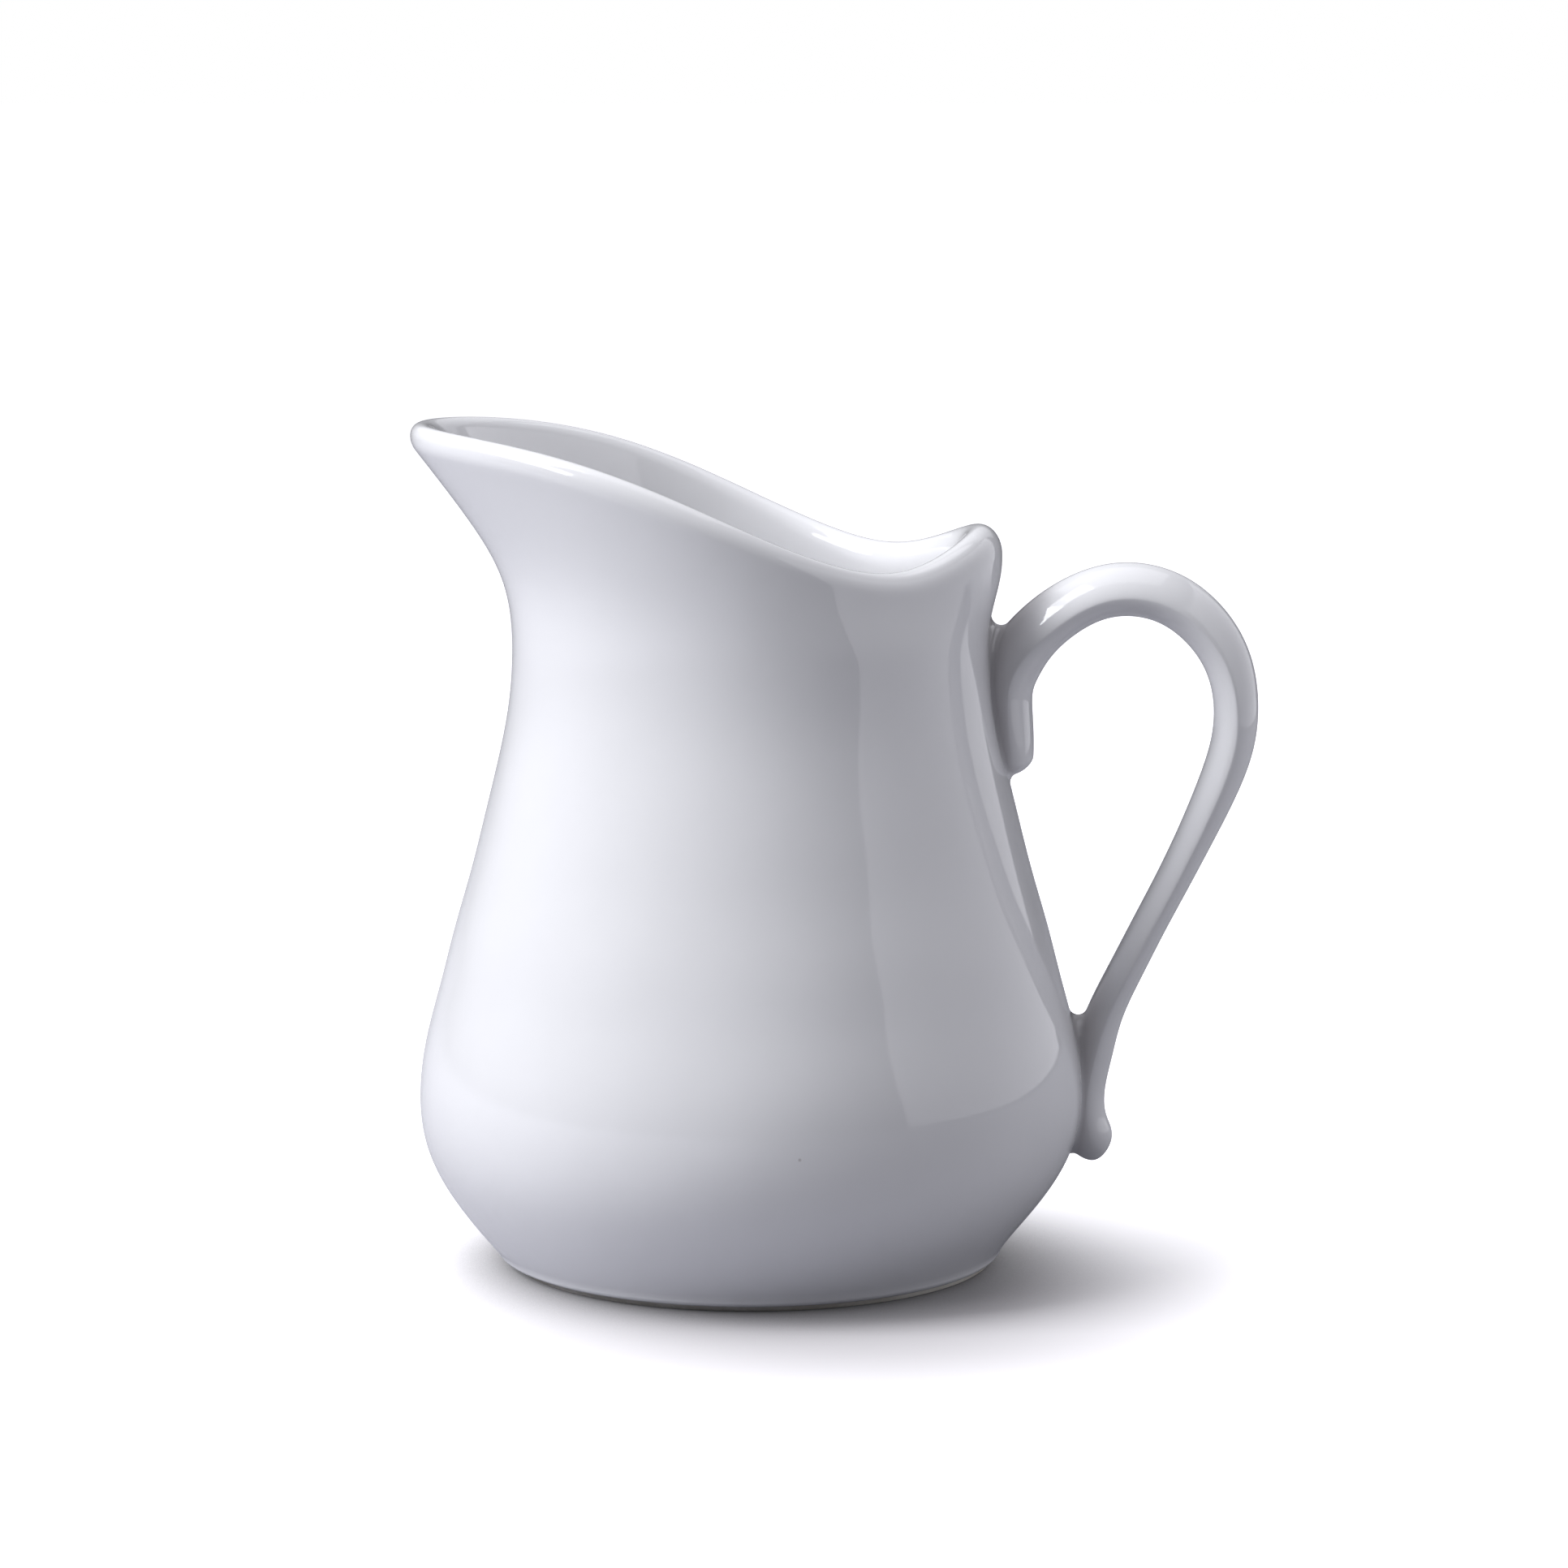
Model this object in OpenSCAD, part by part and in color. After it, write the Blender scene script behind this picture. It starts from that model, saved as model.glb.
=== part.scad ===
// Ceramic pitcher with a pulled spout and a loop handle.
// Origin: centre of the foot, on the surface the pitcher stands on.
// +X to the handle, -X to the spout, +Z up. The XZ plane is the mirror plane. Millimetres.

/* [Overall] */
// height of the wall at the tip of the spout
spout_height = 130.2; // [124:0.2:138]
// largest diameter, at the belly
belly_d = 106.4; // [98:0.2:114]

/* [Wall] */
// wall thickness of the body
wall = 4.0; // [3:0.1:5]
// height of the inside floor
floor_height = 6.5; // [5.5:0.1:8]
// radius of the rounded rim at the spout
rim_r_spout = 2.3; // [1.8:0.1:2.6]
// radius of the rounded rim at the handle
rim_r_back = 3.5; // [2.2:0.1:3.8]
// how much taller than wide the rounded rim is
rim_tall = 1.35; // [1:0.05:1.5]

/* [Foot] */
// outer diameter of the unglazed foot ring
foot_d = 77.6; // [72:0.2:78]
// width of the foot ring's face
foot_face = 6.4; // [4:0.1:9]
// height of the foot ring
foot_h = 0.8; // [0.6:0.1:1.2]
// depth of the hollow under the floor, above the foot ring
under_hollow = 1.8; // [1:0.1:2.2]

/* [Handle] */
// factor on the width of the handle
handle_width_k = 1.0; // [0.85:0.01:1.15]
// factor on the thickness of the handle
handle_thick_k = 1.0; // [0.9:0.01:1.1]
// how sharp the soft ridge along the handle's sides is (1 is a plain oval)
ridge = 1.3; // [1:0.05:1.9]
// how far the ridge lies towards the inside of the arch, as a share of the half thickness
crown = 0.2; // [0:0.05:0.3]
// thickness of the slip that joins the handle to the body
slip_t = 0.4; // [0.3:0.05:0.6]
// how far the slip shows past the handle's edge
slip_edge = 1.2; // [0.6:0.1:1.6]

/* [Hidden] */
around_steps = 64;
kz = spout_height / 130.2;
kx = belly_d / 106.4;
// heights are given on the nominal pitcher and scaled by kz; distances from the axis by kx
profile_step = 9;
// outer radius of the turned shape at every 9 mm of height from the foot up
profile = [39.4, 46.9, 51.9, 53.2, 52.1, 49.75, 47.4, 44.8, 42.5, 40.3, 38.55, 37.8, 37.7, 37.8, 37.9, 38, 38];
// the rim, at every 30 degrees from the handle round to the spout: wall top height and wall top radius
rim_height = [113.4, 110.4, 110.5, 117.0, 125.0, 129.3, 130.2];
rim_radius = [39.8, 37.3, 36.3, 38.2, 42.3, 48.5, 53.0];
// under the spout the flare becomes straight at this share of the way from the neck to the rim
neck_z = 97;
flare_at = 0.41;
flare_soft = 0.12;
// at the handle the lip swells between these two shares instead, and stands upright
lip_from = 0.2;
lip_to = 0.95;
// the shoulder above the foot is a little tighter on the handle's side
tuck = 1.35;
tuck_z = 6;
// handle stations from the tip of the upper root, over the top, to the knop: x, z, half thickness, half width
path = [
    [41.6, 78.3, 3.3, 6.0],
    [41.2, 80.7, 3.8, 6.8],
    [40.9, 84.0, 4.1, 7.3],
    [40.6, 88.0, 4.2, 7.5],
    [40.6, 92.4, 4.3, 7.5],
    [42.0, 96.6, 4.5, 7.4],
    [44.7, 100.4, 4.35, 7.2],
    [48.6, 103.9, 4.25, 7.0],
    [53.8, 106.8, 4.2, 6.8],
    [59.9, 107.9, 4.25, 6.6],
    [66.4, 106.4, 4.2, 6.5],
    [71.9, 102.3, 4.05, 6.4],
    [75.6, 96.6, 3.8, 6.4],
    [77.1, 90.0, 3.55, 6.4],
    [76.6, 83.0, 3.45, 6.4],
    [74.2, 75.8, 3.25, 6.4],
    [71.0, 68.6, 2.95, 6.3],
    [67.4, 61.2, 2.75, 6.3],
    [63.7, 54.0, 2.7, 6.2],
    [60.1, 46.8, 2.75, 6.1],
    [56.9, 40.0, 2.9, 6.0],
    [54.9, 33.6, 3.2, 5.8],
    [53.8, 27.8, 3.1, 5.4],
    [53.7, 22.8, 3.35, 5.2],
    [54.5, 18.8, 3.85, 4.9],
    [55.2, 15.5, 3.1, 4.2]
];
// the upper root's tip and the knop are rounded over these many stations
tip_dome = 1.1;
knop_dome = 1.5;
// rings in each rounded end, by their share of the full size: the sine of these angles
dome_steps = [12, 32, 58];
rows_per_station = 2.5;
ring_points = 22;
// root outlines on the body: lowest z, highest z, half width, corner squareness
upper_root = [76.8, 102.4, 7.4, 2.6];
lower_root = [16.2, 39.4, 5.7, 2.6];
pad_rows = 14;
pad_cols = 10;
// the pad's first and last rows lie at this share of its half height, and its edge is this thin
pad_end = 0.985;
pad_feather = 0.1;

// ---- smooth curves: uniform cubic B-spline that passes through its points
function held(c, i) = c[max(0, min(len(c) - 1, i))];
// a point past either end is mirrored, so the curve ends without bending
function past(c, i) = i < 0 ? 2 * c[0] - held(c, -i)
    : i > len(c) - 1 ? 2 * c[len(c) - 1] - held(c, 2 * (len(c) - 1) - i) : c[i];
function blurred(c, i) = (past(c, i - 1) + 4 * c[i] + past(c, i + 1)) / 6;
function sharpened(c, p, n) = n == 0 ? c
    : sharpened([for (i = [0 : len(p) - 1]) c[i] + p[i] - blurred(c, i)], p, n - 1);
function through(p) = sharpened(p, p, 14);
function spline(c, t) =
    let (i = max(0, min(len(c) - 2, floor(t))), u = t - i, v = 1 - u)
    (v * v * v * past(c, i - 1) + (4 - 6 * u * u + 3 * u * u * u) * c[i]
        + (4 - 6 * v * v + 3 * v * v * v) * past(c, i + 1) + u * u * u * past(c, i + 2)) / 6;

// ---- cosine series through evenly spaced samples from 0 to 180 degrees
function ends(i, n) = i == 0 || i == n ? 0.5 : 1;
function harmonic(s, k) =
    let (n = len(s) - 1, each_term = [for (j = [0 : n]) ends(j, n) * s[j] * cos(k * j * 180 / n)])
    2 / n * ends(k, n) * (each_term * [for (j = [0 : n]) 1]);
function harmonics(s) = [for (k = [0 : len(s) - 1]) harmonic(s, k)];
function around(h, a) = h * [for (k = [0 : len(h) - 1]) cos(k * a)];

// ---- the body's outer skin
profile_c = through(profile);
height_h = harmonics(rim_height);
radius_h = harmonics(rim_radius);
function turned_r(z) = kx * spline(profile_c, z / kz / profile_step);
function rim_z(a) = kz * around(height_h, a);
function rim_r(a) = kx * around(radius_h, a);
function soft_ramp(x) = ln(1 + exp(x));
function flare(a, t) = mix(
    smooth((t - lip_from) / (lip_to - lip_from)),
    soft_ramp((t - flare_at) / flare_soft) / soft_ramp((1 - flare_at) / flare_soft),
    smooth(a / 100)
);
function up_share(a, z) = (z - kz * neck_z) / (rim_z(a) - kz * neck_z);
function tucked(a, z) = tuck * z / tuck_z * exp(1 - z / tuck_z) * (1 + cos(a)) / 2;
function outer_r(a, z) = turned_r(z) - tucked(a, z)
    + (rim_r(a) - turned_r(rim_z(a))) * flare(a, up_share(a, z));
// lean of the outer skin from the vertical, in degrees, outwards positive
function lean(a, z) = atan((outer_r(a, z + 0.05) - outer_r(a, z - 0.05)) / 0.1);
function roll_r(a) = mix(rim_r_back, rim_r_spout, smooth(a / 90));
function mix(a, b, t) = a + (b - a) * t;
function smooth(t) = let (u = max(0, min(1, t))) u * u * (3 - 2 * u);

// ---- one upright slice of the body at angle a: [radius, height], from under the floor round to the
// inside floor
// the rounded corner above the foot ends at corner_z, and the bowl of the inside floor starts at wall_low
corner_z = 2.0;
wall_low = 13.0;
// below mid_z the belly curves more, so the rings lie closer together there
mid_z = 36;
// the hollow under the floor has a sloped side this wide, that starts this far in from the ring
hollow_slope = 3.4;
hollow_gap = 0.6;
function skin_z(a) = concat(
    [for (i = [0 : 12]) mix(corner_z, mid_z, i / 12)],
    [for (i = [1 : 7]) mix(mid_z, kz * neck_z, i / 7)],
    [for (i = [1 : 11]) mix(kz * neck_z, rim_z(a), i / 11)]
);
function thickness(a, z) = mix(wall, 2 * roll_r(a), smooth(up_share(a, z)));
function inner_at(a, z) =
    let (s = lean(a, z), th = thickness(a, z))
    [outer_r(a, z) - th * cos(s), z + th * sin(s)];
function slice(a) =
    let (
        top_z = rim_z(a),
        s = lean(a, top_z),
        q = roll_r(a),
        centre = [outer_r(a, top_z) - q * cos(s), top_z + q * sin(s)],
        foot_r = foot_d / 2,
        hollow_r = foot_r - foot_face - hollow_gap,
        edge_r = outer_r(a, corner_z),
        low = inner_at(a, wall_low),
        b = 90 - lean(a, wall_low),
        bowl = (low[1] - floor_height) / (1 - cos(b)),
        bowl_c = [low[0] - bowl * sin(b), low[1] + bowl * cos(b)]
    )
    concat(
        [[hollow_r - hollow_slope, foot_h + under_hollow], [hollow_r, foot_h]],
        [[foot_r, foot_h]],
        [for (u = [30, 60]) [mix(foot_r, edge_r, sin(u)), mix(corner_z, foot_h, cos(u))]],
        [for (z = skin_z(a)) [outer_r(a, z), z]],
        [for (u = [1 : 7]) centre + q * cos(u * 22.5) * [cos(s), -sin(s)]
            + q * rim_tall * sin(u * 22.5) * [sin(s), cos(s)]],
        [for (i = [0 : 9]) inner_at(a, mix(top_z, kz * neck_z, i / 9))],
        [for (i = [1 : 6]) inner_at(a, mix(kz * neck_z, mid_z, i / 6))],
        [for (i = [1 : 7]) inner_at(a, mix(mid_z, wall_low, i / 7))],
        [for (i = [1 : 4]) bowl_c + bowl * [sin(b * (1 - i / 4)), -cos(b * (1 - i / 4))]]
    );

// a closed skin over rings that all have m points, with one point at each pole
function strip(k, m) = [for (i = [0 : m - 1])
    each [[k * m + i, k * m + (i + 1) % m, (k + 1) * m + i],
        [k * m + (i + 1) % m, (k + 1) * m + (i + 1) % m, (k + 1) * m + i]]];
function caps(n, m, first, last) = [for (i = [0 : m - 1])
    each [[first, (i + 1) % m, i], [last, (n - 1) * m + i, (n - 1) * m + (i + 1) % m]]];
module skin(rings, pole_a, pole_b) {
    n = len(rings);
    m = len(rings[0]);
    polyhedron(
        points = concat([for (r = rings) each r], [pole_a, pole_b]),
        faces = concat(
            [for (k = [0 : n - 2]) each strip(k, m)],
            caps(n, m, n * m, n * m + 1)
        ),
        convexity = 8
    );
}

module body() {
    slices = [for (i = [0 : around_steps - 1])
        let (a = i * 360 / around_steps) slice(a <= 180 ? a : 360 - a)];
    rings = [for (k = [0 : len(slices[0]) - 1]) [for (i = [0 : around_steps - 1])
        let (a = -i * 360 / around_steps, p = slices[i][k]) [p[0] * cos(a), p[0] * sin(a), p[1]]]];
    color([0.93, 0.93, 0.94])
        skin(rings, [0, 0, foot_h + under_hollow], [0, 0, floor_height]);
}

module foot_ring() {
    color([0.82, 0.8, 0.76])
        difference() {
            cylinder(d = foot_d, h = foot_h, $fn = 128);
            translate([0, 0, -1])
                cylinder(d = foot_d - 2 * foot_face, h = foot_h + 2, $fn = 128);
        }
}

// ---- the handle: soft-ridged rings along the path, kept out of the body by the thickness of the slip
path_c = through(path);
path_n = len(path) - 1;
function station(t) = spline(path_c, t);
function heading(t) = let (d = station(t + 0.02) - station(t - 0.02)) [d[0], d[1]] / norm([d[0], d[1]]);
function sgn_pow(x, e) = sign(x) * pow(abs(x), e);
// keeps a point outside the body: [x, y, z]
function clear_of_body(p) =
    let (r = norm([p[0], p[1]]), a = atan2(p[1], p[0]), need = outer_r(abs(a), p[2]) + slip_t)
    r >= need ? p : [need * cos(a), need * sin(a), p[2]];
function dome(t, length) = sqrt(1 - pow(1 - min(1, t / length), 2));
// the ridge fades into a plain oval at the root's tip and at the knop
function ridged(t) = mix(1, ridge, smooth(t / 3) * smooth((path_n - t) / 4));
// the ridge is off the middle only along the arch
function crowned(t) = crown * smooth((t - 4) / 3) * (1 - smooth((t - 11) / 4));
function oval(t) =
    let (
        s = station(t),
        d = heading(t),
        n = [d[1], -d[0]],
        size = dome(t, tip_dome) * dome(path_n - t, knop_dome)
    )
    [for (i = [0 : ring_points - 1])
        let (
            u = i * 360 / ring_points,
            h = handle_thick_k * size * s[2] * (sgn_pow(sin(u), ridged(t)) + crowned(t) * pow(cos(u), 2)),
            y = handle_width_k * size * s[3] * cos(u)
        )
        clear_of_body([kx * (s[0] + h * n[0]), y, kz * (s[1] + h * n[1])])];
function tip(t) = let (s = station(t)) clear_of_body([kx * s[0], 0, kz * s[1]]);

module handle() {
    rows = ceil(path_n * rows_per_station);
    stations = concat(
        [for (u = dome_steps) tip_dome * (1 - cos(u))],
        [for (k = [0 : rows]) mix(tip_dome, path_n - knop_dome, k / rows)],
        [for (k = [len(dome_steps) - 1 : -1 : 0]) path_n - knop_dome * (1 - cos(dome_steps[k]))]
    );
    rings = [for (t = stations) oval(t)];
    color([0.92, 0.92, 0.93])
        skin(rings, tip(0), tip(path_n));
}

// ---- the slip: a thin pad on the body under a root of the handle, feathered out past its edge
function pad_half(root, z) =
    let (mid = (root[0] + root[1]) / 2, half = (root[1] - root[0]) / 2, u = abs(z - mid) / half)
    root[2] * pow(max(0, 1 - pow(u, root[3])), 1 / root[3]);
function pad_point(z, y, lift) =
    let (x = sqrt(pow(outer_r(0, kz * z), 2) - y * y), r = norm([x, y]), k = (r + lift) / r)
    [x * k, y * k, kz * z];
module slip_pad(root) {
    grown = [root[0] - slip_edge, root[1] + slip_edge, root[2] + slip_edge, root[3]];
    mid = (root[0] + root[1]) / 2;
    half = (grown[1] - grown[0]) / 2;
    rings = [for (k = [0 : pad_rows])
        let (z = mid - half * pad_end * cos(k * 180 / pad_rows), w = pad_half(grown, z))
        concat(
            [for (i = [0 : pad_cols]) pad_point(z, w * mix(-1, 1, i / pad_cols), 0)],
            [for (i = [0 : pad_cols])
                let (u = mix(1, -1, i / pad_cols), edge = i == 0 || i == pad_cols)
                pad_point(z, w * u * 0.97, edge ? pad_feather : slip_t)]
        )];
    color([0.9, 0.89, 0.88])
        skin(rings, pad_point(mid - half, 0, slip_t / 2), pad_point(mid + half, 0, slip_t / 2));
}

module upper_slip_joint() {
    slip_pad(upper_root);
}

module lower_slip_joint() {
    slip_pad(lower_root);
}

body();
foot_ring();
handle();
upper_slip_joint();
lower_slip_joint();
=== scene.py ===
"""Looks of the white ceramic pitcher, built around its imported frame.

Shapes are worked out in millimetres in the frame's axes: +X to the handle, -X to the spout, +Z up and the
origin on the foot's plane. They are written in metres."""
import math

import bpy
import numpy as np
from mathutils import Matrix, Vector
from mathutils.bvhtree import BVHTree


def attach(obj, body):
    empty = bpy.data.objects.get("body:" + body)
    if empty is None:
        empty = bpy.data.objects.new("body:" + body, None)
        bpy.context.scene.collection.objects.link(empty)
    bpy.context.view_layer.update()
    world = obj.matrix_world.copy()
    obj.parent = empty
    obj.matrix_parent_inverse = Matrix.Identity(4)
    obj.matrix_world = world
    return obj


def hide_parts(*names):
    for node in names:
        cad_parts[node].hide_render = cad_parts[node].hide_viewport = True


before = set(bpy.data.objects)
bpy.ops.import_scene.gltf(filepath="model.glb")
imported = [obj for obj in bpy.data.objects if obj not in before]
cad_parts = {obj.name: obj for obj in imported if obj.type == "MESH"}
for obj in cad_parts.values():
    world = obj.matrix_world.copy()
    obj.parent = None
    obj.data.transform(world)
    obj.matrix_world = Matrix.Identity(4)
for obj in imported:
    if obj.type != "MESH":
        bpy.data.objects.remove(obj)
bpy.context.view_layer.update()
MM = 0.001

# ---- driving dimensions, in millimetres (the same values as the CAD part)
WALL = 4.0
FLOOR_HEIGHT = 6.5
RIM_R_SPOUT = 2.3
RIM_R_BACK = 3.5
RIM_TALL = 1.35
FOOT_D = 77.6
FOOT_FACE = 6.4
FOOT_H = 0.8
UNDER_HOLLOW = 1.8
RIDGE = 1.3
CROWN = 0.2

# outer radius of the turned shape at every 9 mm of height from the foot up
PROFILE_STEP = 9.0
PROFILE = [39.4, 46.9, 51.9, 53.2, 52.1, 49.75, 47.4, 44.8, 42.5, 40.3, 38.55, 37.8, 37.7, 37.8, 37.9, 38, 38]
# the rim at every 30 degrees from the handle round to the spout: wall top height and wall top radius
RIM_HEIGHT = [113.4, 110.4, 110.5, 117.0, 125.0, 129.3, 130.2]
RIM_RADIUS = [39.8, 37.3, 36.3, 38.2, 42.3, 48.5, 53.0]
NECK_Z = 97.0
FLARE_AT = 0.41
FLARE_SOFT = 0.12
LIP_FROM = 0.2
LIP_TO = 0.95
TUCK = 1.35
TUCK_Z = 6.0
CORNER_Z = 2.0
WALL_LOW = 13.0

# handle stations from the tip of the upper root, over the top, to the knop: x, z, half thickness, half width
PATH = [
    [41.6, 78.3, 3.3, 6.0],
    [41.2, 80.7, 3.8, 6.8],
    [40.9, 84.0, 4.1, 7.3],
    [40.6, 88.0, 4.2, 7.5],
    [40.6, 92.4, 4.3, 7.5],
    [42.0, 96.6, 4.5, 7.4],
    [44.7, 100.4, 4.35, 7.2],
    [48.6, 103.9, 4.25, 7.0],
    [53.8, 106.8, 4.2, 6.8],
    [59.9, 107.9, 4.25, 6.6],
    [66.4, 106.4, 4.2, 6.5],
    [71.9, 102.3, 4.05, 6.4],
    [75.6, 96.6, 3.8, 6.4],
    [77.1, 90.0, 3.55, 6.4],
    [76.6, 83.0, 3.45, 6.4],
    [74.2, 75.8, 3.25, 6.4],
    [71.0, 68.6, 2.95, 6.3],
    [67.4, 61.2, 2.75, 6.3],
    [63.7, 54.0, 2.7, 6.2],
    [60.1, 46.8, 2.75, 6.1],
    [56.9, 40.0, 2.9, 6.0],
    [54.9, 33.6, 3.2, 5.8],
    [53.8, 27.8, 3.1, 5.4],
    [53.7, 22.8, 3.35, 5.2],
    [54.5, 18.8, 3.85, 4.9],
    [55.2, 15.5, 3.1, 4.2],
]
# the ends are rounded over these many stations
TIP_DOME = 1.1
KNOP_DOME = 1.5


# ---- smooth curves: uniform cubic B-spline that passes through its points
def past(points, i):
    last = len(points) - 1
    if i < 0:
        return 2 * points[0] - points[min(last, -i)]
    if i > last:
        return 2 * points[last] - points[max(0, 2 * last - i)]
    return points[i]


def through(points):
    target = np.array(points, float)
    control = target.copy()
    for _ in range(14):
        before = np.array([past(control, i - 1) for i in range(len(control))])
        after = np.array([past(control, i + 1) for i in range(len(control))])
        control = control + target - (before + 4 * control + after) / 6
    return control


def spline(control, t):
    t = np.asarray(t, float)
    last = len(control) - 1
    i = np.clip(np.floor(t).astype(int), 0, last - 1)
    u = t - i
    v = 1 - u
    longer = np.array([past(control, -1), *control, past(control, last + 1), past(control, last + 2)])
    weights = (v**3, 4 - 6 * u * u + 3 * u**3, 4 - 6 * v * v + 3 * v**3, u**3)
    if longer.ndim > 1:
        weights = [w[..., None] for w in weights]
    return sum(w * longer[i + k] for k, w in enumerate(weights)) / 6


def harmonics(samples):
    """The cosine series that passes through evenly spaced samples from 0 to 180 degrees."""
    n = len(samples) - 1
    ends = np.array([0.5] + [1.0] * (n - 1) + [0.5])
    k = np.arange(n + 1)
    return 2 / n * ends * (np.cos(np.outer(k, k) * math.pi / n) @ (ends * np.array(samples)))


def around(series, angle):
    return sum(c * np.cos(k * angle) for k, c in enumerate(series))


def smooth(t):
    u = np.clip(t, 0, 1)
    return u * u * (3 - 2 * u)


def mix(a, b, t):
    return a + (b - a) * t


# ---- the body's outer skin: radius at an angle from the handle (radians, 0 to pi) and a height
PROFILE_C = through(PROFILE)
HEIGHT_H = harmonics(RIM_HEIGHT)
RADIUS_H = harmonics(RIM_RADIUS)


def turned_r(z):
    return spline(PROFILE_C, z / PROFILE_STEP)


def rim_z(a):
    return around(HEIGHT_H, a)


def up_share(a, z):
    return (z - NECK_Z) / (rim_z(a) - NECK_Z)


def softplus(x):
    return np.log1p(np.exp(x))


def flare(a, t):
    """Share of the flare at the share t of the way from the neck to the rim."""
    lip = smooth((t - LIP_FROM) / (LIP_TO - LIP_FROM))
    spout = softplus((t - FLARE_AT) / FLARE_SOFT) / softplus((1 - FLARE_AT) / FLARE_SOFT)
    return mix(lip, spout, smooth(np.degrees(a) / 100))


def outer_r(a, z):
    tucked = TUCK * z / TUCK_Z * np.exp(1 - z / TUCK_Z) * (1 + np.cos(a)) / 2
    return turned_r(z) - tucked + (around(RADIUS_H, a) - turned_r(rim_z(a))) * flare(a, up_share(a, z))


def lean(a, z):
    """How far the skin leans outwards, in radians from upright."""
    return np.arctan((outer_r(a, z + 0.05) - outer_r(a, z - 0.05)) / 0.1)


def roll_r(a):
    return mix(RIM_R_BACK, RIM_R_SPOUT, smooth(np.degrees(a) / 90))


def inner_at(a, z):
    s = lean(a, z)
    thick = mix(WALL, 2 * roll_r(a), smooth(up_share(a, z)))
    return outer_r(a, z) - thick * np.cos(s), z + thick * np.sin(s)


# ---- meshes
def new_object(name, points, faces, normals=None):
    mesh = bpy.data.meshes.new(name)
    mesh.from_pydata((np.asarray(points) * MM).tolist(), [], faces)
    mesh.validate()
    mesh.shade_smooth()
    if normals is not None:
        mesh.normals_split_custom_set_from_vertices([tuple(n) for n in normals])
    obj = bpy.data.objects.new(name + "_look", mesh)
    bpy.context.scene.collection.objects.link(obj)
    return obj


def looped(steps, m):
    """Quads of a closed tube: steps loops round, each of m points."""
    return [
        [k * m + i, k * m + (i + 1) % m, (k + 1) % steps * m + (i + 1) % m, (k + 1) % steps * m + i]
        for k in range(steps) for i in range(m)
    ]


def skin(rings, pole_a, pole_b):
    """A closed skin over rings, an array of shape (rings, points, 3), with one point at each pole."""
    n, m = rings.shape[:2]
    k = np.arange(n - 1)[:, None] * m
    i = np.arange(m)[None, :]
    j = (i + 1) % m
    quads = np.stack([k + i, k + m + i, k + m + j, k + j], axis=-1).reshape(-1, 4).tolist()
    first, last = n * m, n * m + 1
    caps = [[first, int(a), int(b)] for a, b in zip(i[0], j[0])]
    caps += [[last, (n - 1) * m + int(b), (n - 1) * m + int(a)] for a, b in zip(i[0], j[0])]
    return np.vstack([rings.reshape(-1, 3), pole_a, pole_b]), quads + caps


def foot_rows(a):
    """From under the floor, over the foot's face and round its outer corner."""
    hollow_r = FOOT_D / 2 - FOOT_FACE
    foot_r = FOOT_D / 2
    under = [(hollow_r - 8, UNDER_HOLLOW), (hollow_r - 3, UNDER_HOLLOW - 0.1), (hollow_r - 1.2, 0.4)]
    under += [(hollow_r - 0.4, 0.0), (hollow_r + 2, 0.0), (foot_r - 1, 0.0), (foot_r, 0.0)]
    edge_r = outer_r(a, np.full_like(a, CORNER_Z))
    bend = np.radians(np.arange(9, 90, 9))
    corner = [(mix(foot_r, edge_r, np.sin(u)), mix(CORNER_Z, FOOT_H, np.cos(u))) for u in bend]
    return [(r, FOOT_H + z) for r, z in under] + corner


def outside_rows(a, top):
    rows = [(outer_r(a, np.full_like(a, z)), z) for z in np.arange(CORNER_Z, NECK_Z, 1.0)]
    for t in np.linspace(0, 1, 34):
        z = mix(NECK_Z, top, t)
        rows.append((outer_r(a, z), z))
    return rows


def rim_rows(a, top):
    """The rounded rim: half an oval across the wall's top, square to the lean of the skin."""
    s, q = lean(a, top), roll_r(a)
    centre_r = outer_r(a, top) - q * np.cos(s)
    centre_z = top + q * np.sin(s)
    rows = []
    for u in np.radians(np.arange(7.5, 180, 7.5)):
        out, up = q * np.cos(u), q * RIM_TALL * np.sin(u)
        r = centre_r + out * np.cos(s) + up * np.sin(s)
        rows.append((r, centre_z - out * np.sin(s) + up * np.cos(s)))
    return rows


def inside_rows(a, top):
    """Down the inside and round the bowl to the flat floor."""
    rows = [inner_at(a, mix(top, NECK_Z, t)) for t in np.linspace(0, 1, 30)]
    rows += [inner_at(a, np.full_like(a, z)) for z in np.arange(NECK_Z - 1.5, WALL_LOW, -1.5)]
    low_r, low_z = inner_at(a, np.full_like(a, WALL_LOW))
    b = math.pi / 2 - lean(a, np.full_like(a, WALL_LOW))
    bowl = (low_z - FLOOR_HEIGHT) / (1 - np.cos(b))
    for t in np.linspace(0, 1, 12):
        c = b * (1 - t)
        rows.append((low_r + bowl * (np.sin(c) - np.sin(b)), low_z + bowl * (np.cos(b) - np.cos(c))))
    return rows + [((low_r - bowl * np.sin(b)) * t, FLOOR_HEIGHT) for t in (0.7, 0.35)]


def body_rings(steps):
    """Rings from under the floor, up the outside, over the rim and down to the inside floor."""
    turn = np.arange(steps) * 2 * math.pi / steps
    a = np.minimum(turn, 2 * math.pi - turn)[:, None]
    top = rim_z(a)
    rows = foot_rows(a) + outside_rows(a, top) + rim_rows(a, top) + inside_rows(a, top)
    r = np.array([np.broadcast_to(row[0], (steps, 1))[:, 0] for row in rows])
    z = np.array([np.broadcast_to(row[1], (steps, 1))[:, 0] for row in rows])
    return np.stack([r * np.cos(-turn), r * np.sin(-turn), z], axis=-1)


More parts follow.
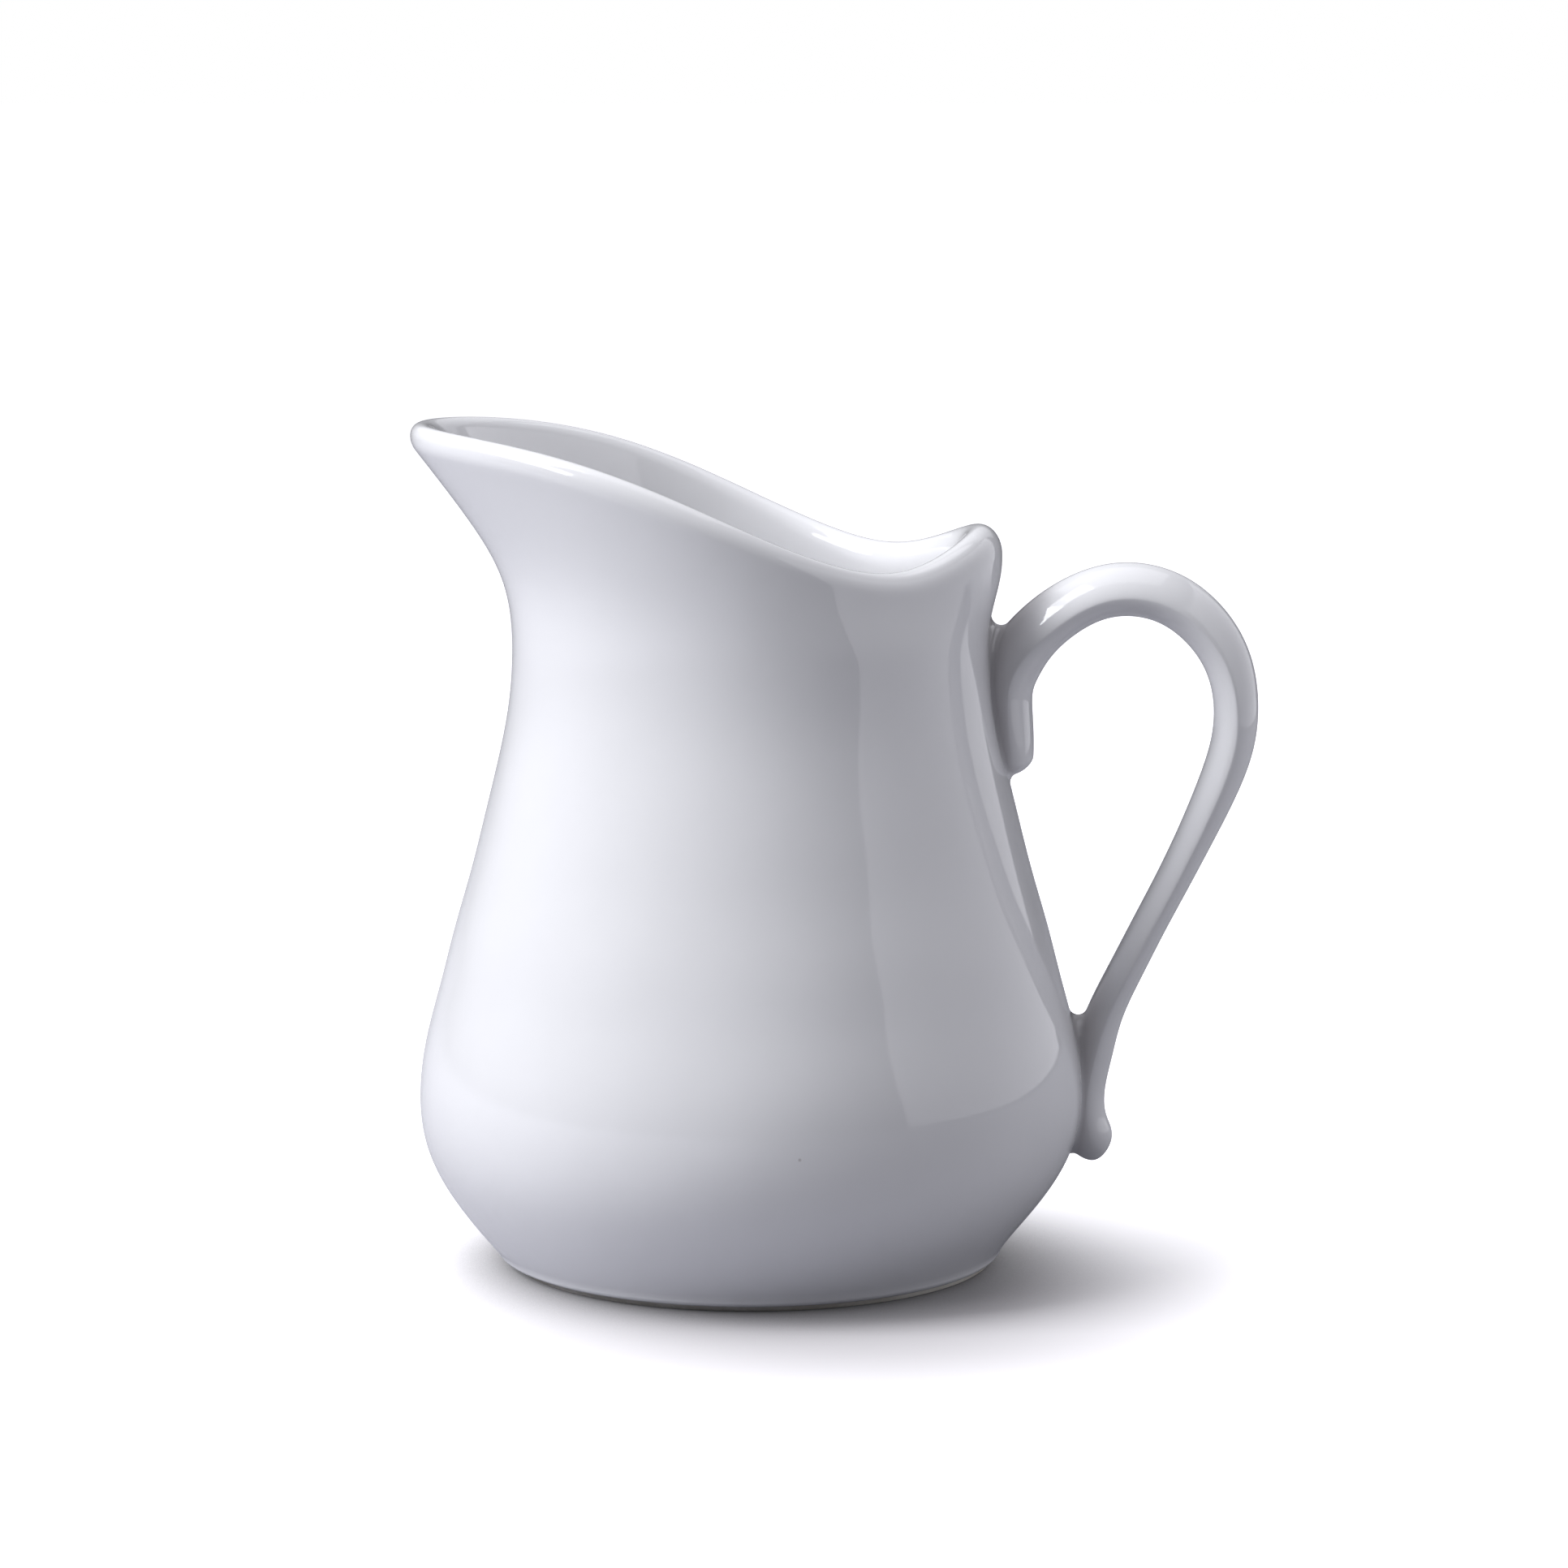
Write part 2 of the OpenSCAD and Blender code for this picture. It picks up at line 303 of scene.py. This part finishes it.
def make_body():
    points, faces = skin(body_rings(288), [[0, 0, FOOT_H + UNDER_HOLLOW]], [[0, 0, FLOOR_HEIGHT]])
    return new_object("body", points, faces)


def make_foot_ring():
    """The unglazed ring the pitcher stands on, with its edges softened by the sponge."""
    outer, inner = FOOT_D / 2, FOOT_D / 2 - FOOT_FACE
    soft = 0.25
    bend = np.radians([30, 60, 90])
    outline = [(outer - 0.05, FOOT_H), (outer, FOOT_H - 0.1), (outer, soft)]
    outline += [(outer - soft + soft * math.cos(u), soft - soft * math.sin(u)) for u in bend]
    outline += [(mix(outer - soft, inner + soft, t), 0.0) for t in (0.25, 0.5, 0.75, 1)]
    outline += [(inner + soft - soft * math.sin(u), soft - soft * math.cos(u)) for u in bend]
    outline += [(inner, FOOT_H - 0.1), (inner + 0.05, FOOT_H)]
    steps = 288
    turn = np.arange(steps) * 2 * math.pi / steps
    points = [(r * math.cos(t), r * math.sin(t), z) for t in turn for r, z in outline]
    return new_object("foot_ring", points, looped(steps, len(outline)))


# ---- the handle
PATH_C = through(PATH)
PATH_N = len(PATH) - 1
IN_THE_WALL = 0.6


def dome(t, length):
    return np.sqrt(1 - (1 - np.clip(t / length, 0, 1)) ** 2)


def sgn_pow(x, e):
    return np.sign(x) * np.abs(x) ** e


def ridged(t):
    """The ridge fades into a plain oval at the root's tip and at the knop."""
    return mix(1, RIDGE, smooth(t / 3) * smooth((PATH_N - t) / 4))


def crowned(t):
    """The ridge lies off the middle, towards the inside, only along the arch."""
    return CROWN * smooth((t - 4) / 3) * (1 - smooth((t - 11) / 4))


def handle_rings(t, count):
    """Soft-ridged rings across the handle's path at the stations t."""
    s = spline(PATH_C, t)
    d = (spline(PATH_C, t + 0.01) - spline(PATH_C, t - 0.01))[:, :2]
    d /= np.linalg.norm(d, axis=1)[:, None]
    size = dome(t, TIP_DOME) * dome(PATH_N - t, KNOP_DOME)
    u = np.arange(count) * 2 * math.pi / count
    across = sgn_pow(np.sin(u)[None, :], ridged(t)[:, None]) + crowned(t)[:, None] * np.cos(u) ** 2
    h = (size * s[:, 2])[:, None] * across
    y = (size * s[:, 3])[:, None] * np.cos(u)[None, :]
    x = s[:, :1] + h * d[:, 1:2]
    z = s[:, 1:2] - h * d[:, :1]
    return np.stack([x, y, z], axis=-1)


def body_point(a, z, lift=0.0):
    """A point on the body's skin at a signed angle from the handle, raised along the skin's normal."""
    r = outer_r(np.abs(a), z)
    s = lean(np.abs(a), z)
    r, z = r + lift * np.cos(s), z - lift * np.sin(s)
    return np.stack([r * np.cos(a), r * np.sin(a), z], axis=-1)


def body_normal(a, z):
    s = lean(np.abs(a), z)
    return np.stack([np.cos(s) * np.cos(a), np.cos(s) * np.sin(a), -np.sin(s)], axis=-1)


def kept_shallow(points, depth):
    """Brings points that are deeper in the body's wall than depth back up to that depth."""
    x, y, z = points[..., 0], points[..., 1], points[..., 2]
    r, a = np.hypot(x, y), np.arctan2(y, x)
    r_new = np.maximum(r, outer_r(np.abs(a), z) - depth)
    return np.stack([r_new * np.cos(a), r_new * np.sin(a), z], axis=-1)


def end_spaced(n):
    """Stations from end to end, closer together in the rounded ends."""
    near = np.sin(np.linspace(0.02, 1, 22) * math.pi / 2)
    first = TIP_DOME * (1 - np.cos(np.arcsin(near)))
    last = PATH_N - (KNOP_DOME * (1 - np.cos(np.arcsin(near))))[::-1]
    return np.concatenate([first, np.linspace(TIP_DOME, PATH_N - KNOP_DOME, n)[1:-1], last])


def make_handle():
    rings = kept_shallow(handle_rings(end_spaced(300), 128), IN_THE_WALL)
    ends = [handle_rings(np.array([t]), 4).mean(axis=1) for t in (0.0, float(PATH_N))]
    tips = [kept_shallow(end, IN_THE_WALL) for end in ends]
    points, faces = skin(rings, *tips)
    return new_object("handle", points, faces)


# ---- the slip fillets: a ball rolled round each root, touching the body and the handle
UPPER_STATIONS = (0, 8)
LOWER_STATIONS = (17, PATH_N)
BALL_SIDE = 0.8
BALL_SUNK = 0.4
LAP = 0.12
CREASE_LAP = 0.15
DEEPEST = 2.2


def handle_tree(t_from, t_to):
    """Part of the handle's skin, to find the nearest point of."""
    rings = handle_rings(np.clip(np.linspace(t_from, t_to, 700), 0.0005, PATH_N - 0.0005), 320)
    points, faces = skin(rings, rings[:1].mean(axis=1), rings[-1:].mean(axis=1))
    return BVHTree.FromPolygons([tuple(p) for p in points], faces)


def on_body(far, turn, mid_z):
    """Angle and height of the point at a distance and direction from the root's middle, along the body."""
    return far * np.cos(turn) / float(outer_r(0.0, mid_z)), mid_z + far * np.sin(turn)


def rolled_to(tree, turn, mid_z, reach, ball, lift):
    """Comes in from reach until the ball touches the handle."""
    far = reach
    for _ in range(80):
        centre = body_point(*on_body(far, turn, mid_z), lift)
        gap = tree.find_nearest(Vector(centre))[3] - ball
        if abs(gap) < 1e-4:
            break
        far -= gap * 0.8
    return far


def unit(v):
    return v / np.linalg.norm(v, axis=1)[:, None]


def rolled_fillet(name, stations, mid_z, reach, ball_end, steps=360, across=14):
    """Tangent to the body at its two ends; on the sides it runs into the body's skin with a crisp edge."""
    tree = handle_tree(*stations)
    turn = np.arange(steps) * 2 * math.pi / steps
    at_end = np.abs(np.sin(turn)) ** 10
    ball = mix(BALL_SIDE, ball_end, at_end)
    lift = ball * mix(1 - BALL_SUNK, 1, at_end)
    far = np.array([rolled_to(tree, v, mid_z, reach, b, up) for v, b, up in zip(turn, ball, lift)])
    for _ in range(2):
        far = (np.roll(far, 1) + 2 * far + np.roll(far, -1)) / 4
    a, z = on_body(far, turn, mid_z)
    centre = body_point(a, z, lift)
    touch = np.array([tuple(tree.find_nearest(Vector(c))[0]) for c in centre])
    reach_handle = np.linalg.norm(touch - centre, axis=1)
    to_body, to_handle = -body_normal(a, z), unit(touch - centre)
    spread = np.arccos(np.clip((to_body * to_handle).sum(axis=1), -1, 1))[:, None]
    loops, normals = [], []
    for w in np.linspace(0, 1, across + 1):
        to = (np.sin((1 - w) * spread) * to_body + np.sin(w * spread) * to_handle) / np.sin(spread)
        loops.append(centre + mix(ball, reach_handle, w)[:, None] * to)
        normals.append(-to)
    # the hidden side: straight into the handle, down to the crease, and out of the body
    corner = unit(to_body + to_handle)
    deep = ball[:, None] * np.minimum(1 / np.cos(spread / 2), DEEPEST) + CREASE_LAP
    loops += [loops[-1] + LAP * to_handle, centre + deep * corner, loops[0] + LAP * to_body]
    normals += [corner, corner, corner]
    m = len(loops)
    points = np.stack(loops, axis=1).reshape(-1, 3)
    faces = [face[::-1] for face in looped(steps, m)]
    return new_object(name, points, faces, np.stack(normals, axis=1).reshape(-1, 3))


# ---- materials
def link(tree, a, b):
    tree.links.new(a, b)


def node(tree, kind, **values):
    n = tree.nodes.new(kind)
    for key, value in values.items():
        if hasattr(n, key):
            setattr(n, key, value)
        else:
            n.inputs[key].default_value = value
    return n


def new_material(name):
    m = bpy.data.materials.new(name)
    m.use_nodes = True
    return m, m.node_tree, m.node_tree.nodes["Principled BSDF"]


def ranged(tree, value, start, end, low, high, **kinds):
    """Maps a value from start..end to low..high."""
    n = node(tree, "ShaderNodeMapRange", **kinds)
    for key, number in (("From Min", start), ("From Max", end), ("To Min", low), ("To Max", high)):
        n.inputs[key].default_value = number
    link(tree, value, n.inputs["Value"])
    return n.outputs["Result"]


def noise(tree, place, scale, detail, rough=0.5):
    n = node(tree, "ShaderNodeTexNoise", Scale=scale, Detail=detail, Roughness=rough)
    link(tree, place, n.inputs["Vector"])
    return n.outputs["Fac"]


def two_colours(tree, value, first, first_at, second, second_at):
    ramp = node(tree, "ShaderNodeValToRGB")
    for stop, colour, position in zip(ramp.color_ramp.elements, (first, second), (first_at, second_at)):
        stop.color = (*colour, 1)
        stop.position = position
    link(tree, value, ramp.inputs["Fac"])
    return ramp.outputs["Color"]


def blended(tree, amount, under, colour):
    """The colour laid over the under colour by amount."""
    n = node(tree, "ShaderNodeMix", data_type="RGBA")
    n.inputs[7].default_value = (*colour, 1)
    link(tree, amount, n.inputs[0])
    link(tree, under, n.inputs[6])
    return n.outputs[2]


def bumped(tree, height, distance, strength=1.0, under=None):
    n = node(tree, "ShaderNodeBump", Strength=strength, Distance=distance)
    link(tree, height, n.inputs["Height"])
    if under:
        link(tree, under, n.inputs["Normal"])
    return n.outputs["Normal"]


def openness(tree, distance):
    """1 in the open, towards 0 in creases narrower than the distance."""
    n = node(tree, "ShaderNodeAmbientOcclusion", samples=8)
    n.inputs["Distance"].default_value = distance
    return n.outputs["AO"]


WHITE = (0.805, 0.805, 0.828)
SPECK = (0.33, 0.3, 0.28)
# the crease colour, its reach and its share on the handle and slip joints: partly glaze pooled in the
# creases, partly painted shade
POOLED_AND_SHADE = (0.25, 0.21, 0.205)
POOL_SHADE_REACH = 0.009
ROOT_POOL_SHADE = 0.4
GLOSS = 0.07
BODY_WAVE = 0.00016
HANDLE_WAVE = 0.00005


def speckled(tree, place):
    """White with faint clouds where the glaze is thicker, and a few iron specks under it."""
    thin = [c * 0.975 for c in WHITE]
    clouds = two_colours(tree, noise(tree, place, 38.0, 3.0, 0.55), thin, 0.3, WHITE, 0.7)
    cells = node(tree, "ShaderNodeTexVoronoi", Scale=85.0)
    link(tree, place, cells.inputs["Vector"])
    both = node(tree, "ShaderNodeMath", operation="MULTIPLY")
    link(tree, ranged(tree, cells.outputs["Distance"], 0.012, 0.03, 1.0, 0.0), both.inputs[0])
    link(tree, ranged(tree, noise(tree, place, 60.0, 0.0), 0.60, 0.68, 0.0, 1.0), both.inputs[1])
    return blended(tree, both.outputs[0], clouds, SPECK)


def glaze(name, pool_shade, wavy):
    """White glaze. It is darker by the given share in creases, partly where glaze and slip collect and partly
    as painted shade.
    """
    m, tree, shader = new_material(name)
    shader.inputs["IOR"].default_value = 1.52
    place = node(tree, "ShaderNodeTexCoord").outputs["Object"]
    colour = speckled(tree, place)
    if pool_shade:
        # painted shade in the creases, mixed with glaze pooled there
        crease = ranged(tree, openness(tree, POOL_SHADE_REACH), 0.35, 0.97, pool_shade, 0.0)
        colour = blended(tree, crease, colour, POOLED_AND_SHADE)
    link(tree, colour, shader.inputs["Base Color"])
    gloss = ranged(tree, noise(tree, place, 120.0, 2.0), 0.0, 1.0, GLOSS * 0.8, GLOSS * 1.25)
    link(tree, gloss, shader.inputs["Roughness"])
    # the slow wave of a cast wall and the fine ripple of the glaze over it
    wave = bumped(tree, noise(tree, place, 42.0, 1.0, 0.4), wavy)
    ripple = bumped(tree, noise(tree, place, 420.0, 1.5), 0.000006, under=wave)
    link(tree, ripple, shader.inputs["Normal"])
    return m


def bare_clay(name):
    """The foot ring after the glaze is sponged off: fine grain, no gloss."""
    m, tree, shader = new_material(name)
    shader.inputs["Roughness"].default_value = 0.85
    place = node(tree, "ShaderNodeTexCoord").outputs["Object"]
    stain = noise(tree, place, 90.0, 4.0)
    colour = two_colours(tree, stain, (0.52, 0.49, 0.43), 0.35, (0.68, 0.66, 0.61), 0.65)
    link(tree, colour, shader.inputs["Base Color"])
    grain = bumped(tree, noise(tree, place, 1500.0, 4.0), 0.00008, 0.7)
    link(tree, grain, shader.inputs["Normal"])
    return m


# ---- the studio
FLOOR_HALF = 12.0
# what the camera sees of the floor: its own shading, and a glow that leaves out the pitcher's surroundings,
# both dimmed close to the foot as a painted shadow
FLOOR_SEEN = (0.5356, 0.52, 0.5356)
GLOW = (1.0, 1.0, 1.04)
NEAR_GLOW = 0.06
GLOW_FROM = 0.017
GLOW_TO = 0.096
GLOW_CENTRE = (0.016, -0.032, 0)
SHADE_REACH = 0.06
SHADE_FROM = -0.23
SHADE_TO = 0.8
# what the floor throws back at the pitcher: the floor's colour is painted lighter on the lamps' side than
# behind the pitcher, as painted light and shade
THROWN = (0.92, 0.92, 1.0)
THROWN_LIT = 0.52
THROWN_SHADED = 0.3
THROWN_FROM = -0.04
THROWN_TO = 0.05


def scaled(tree, colour, amount):
    n = node(tree, "ShaderNodeVectorMath", operation="SCALE")
    n.inputs[0].default_value = colour
    link(tree, amount, n.inputs["Scale"])
    return n.outputs[0]


def by_ray(tree, others, camera, output):
    """One shader for the camera's rays and another for all other rays."""
    rays = node(tree, "ShaderNodeLightPath")
    choose = node(tree, "ShaderNodeMixShader")
    link(tree, rays.outputs["Is Camera Ray"], choose.inputs[0])
    link(tree, others, choose.inputs[1])
    link(tree, camera, choose.inputs[2])
    link(tree, choose.outputs[0], tree.nodes[output].inputs["Surface"])


def thrown_light(tree, shader, place):
    shader.inputs["Roughness"].default_value = 0.9
    shader.inputs["Specular IOR Level"].default_value = 0.1
    across = node(tree, "ShaderNodeSeparateXYZ")
    link(tree, place, across.inputs[0])
    # painted light and shade: the floor's colour is lighter on the lamps' side and darker behind the pitcher
    share = ranged(tree, across.outputs["X"], THROWN_FROM, THROWN_TO, THROWN_LIT, THROWN_SHADED)
    link(tree, scaled(tree, THROWN, share), shader.inputs["Base Color"])
    return shader.outputs[0]


def seen_floor(tree, place):
    distance = node(tree, "ShaderNodeVectorMath", operation="DISTANCE")
    distance.inputs[1].default_value = GLOW_CENTRE
    link(tree, place, distance.inputs[0])
    soft = {"interpolation_type": "SMOOTHSTEP"}
    # painted shadow: the glow fades near the pitcher, and it and the paper's shading are dimmed by openness
    # near the foot
    far = ranged(tree, distance.outputs["Value"], GLOW_FROM, GLOW_TO, NEAR_GLOW, 1.0, **soft)
    depth = ranged(tree, openness(tree, SHADE_REACH), SHADE_FROM, SHADE_TO, 0.0, 1.0, **soft)
    level = node(tree, "ShaderNodeMath", operation="MULTIPLY")
    link(tree, far, level.inputs[0])
    link(tree, depth, level.inputs[1])
    glow = node(tree, "ShaderNodeEmission")
    glow.inputs["Color"].default_value = (*GLOW, 1)
    link(tree, level.outputs[0], glow.inputs["Strength"])
    paper = node(tree, "ShaderNodeBsdfDiffuse")
    link(tree, scaled(tree, FLOOR_SEEN, depth), paper.inputs["Color"])
    add = node(tree, "ShaderNodeAddShader")
    link(tree, paper.outputs[0], add.inputs[0])
    link(tree, glow.outputs[0], add.inputs[1])
    return add.outputs[0]


def make_floor():
    """White paper that the camera sees bright and clean, with only the shadow near the pitcher, partly cast
    by the lamps and partly painted.
    """
    mesh = bpy.data.meshes.new("floor")
    h = FLOOR_HALF
    mesh.from_pydata([(-h, -h, 0), (h, -h, 0), (h, h, 0), (-h, h, 0)], [], [[0, 1, 2, 3]])
    floor = bpy.data.objects.new("floor", mesh)
    bpy.context.scene.collection.objects.link(floor)
    m, tree, shader = new_material("floor_paper")
    place = node(tree, "ShaderNodeTexCoord").outputs["Object"]
    by_ray(tree, thrown_light(tree, shader, place), seen_floor(tree, place), "Material Output")
    mesh.materials.append(m)
    return floor


def make_world(strength):
    """A dim room that the camera sees as white."""
    world = bpy.data.worlds.new("studio")
    bpy.context.scene.world = world
    world.use_nodes = True
    tree = world.node_tree
    room = tree.nodes["Background"]
    room.inputs["Color"].default_value = (0.96, 0.98, 1.0, 1)
    room.inputs["Strength"].default_value = strength
    seen = node(tree, "ShaderNodeBackground", Strength=1.0)
    seen.inputs["Color"].default_value = (1.0, 1.0, 1.0, 1)
    by_ray(tree, room.outputs[0], seen.outputs[0], "World Output")


DAYLIGHT = (0.972, 0.98, 1.0)
BOUNCED = (0.95, 0.95, 1.0)


def softbox(name, azimuth, elevation, width, height, radiance, distance=1.0, colour=DAYLIGHT):
    """A lamp that faces the pitcher. Azimuth 0 is the camera's side, positive to the handle, in degrees."""
    a, e = math.radians(azimuth), math.radians(elevation)
    target = Vector((0, 0, 0.08))
    way = Vector((math.sin(a) * math.cos(e), -math.cos(a) * math.cos(e), math.sin(e)))
    data = bpy.data.lights.new(name, "AREA")
    data.shape = "RECTANGLE"
    data.size, data.size_y = width, height
    data.energy = radiance * math.pi * width * height
    data.color = colour
    lamp = bpy.data.objects.new(name, data)
    lamp.location = target + way * distance
    lamp.rotation_euler = (-way).to_track_quat("-Z", "Y").to_euler()
    bpy.context.scene.collection.objects.link(lamp)


def make_lights():
    # one broad bank of light on the left, brightest in its middle
    softbox("key_low", -65, 30, 0.72, 0.33, 7.4)
    softbox("key_middle", -72, 48, 0.45, 0.33, 12.2)
    softbox("key_high", -72, 66, 0.38, 0.33, 5.0)
    # soft light from above and a pale board close by on the handle's side
    softbox("overhead", 180, 78, 1.00, 1.00, 1.15, 1.0, BOUNCED)
    softbox("board_right", 94, 18, 0.88, 0.45, 1.04, 0.46, BOUNCED)
    softbox("backdrop", 180, 30, 1.60, 0.80, 0.40, 1.5, BOUNCED)


def make_camera():
    data = bpy.data.cameras.new("camera")
    data.lens = 120.7
    data.sensor_width = 36
    cam = bpy.data.objects.new("camera", data)
    cam.location = (0.0052, -0.830, 0.197)
    cam.rotation_euler = (math.radians(90 - 8.25), 0, 0)
    bpy.context.scene.collection.objects.link(cam)
    bpy.context.scene.camera = cam


def build():
    slip = glaze("slip_glaze", ROOT_POOL_SHADE, HANDLE_WAVE)
    parts = [
        (make_body(), glaze("white_glaze", 0.0, BODY_WAVE), "white_glaze"),
        (make_foot_ring(), bare_clay("bare_clay"), "bare_foot"),
        (make_handle(), glaze("handle_glaze", ROOT_POOL_SHADE, HANDLE_WAVE), "handle_glaze"),
        (rolled_fillet("upper_slip_joint", UPPER_STATIONS, 90.0, 20.0, 1.6), slip, "slip_glaze"),
        (rolled_fillet("lower_slip_joint", LOWER_STATIONS, 28.0, 19.0, 1.5), slip, "slip_glaze"),
    ]
    for piece, material, slot in parts:
        piece.data.materials.append(material)
        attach(piece, "root")
        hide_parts(piece.name.removesuffix("_look"))


build()
floor = make_floor()
make_world(0.03)
make_lights()
make_camera()
bpy.context.scene.view_settings.view_transform = "Standard"
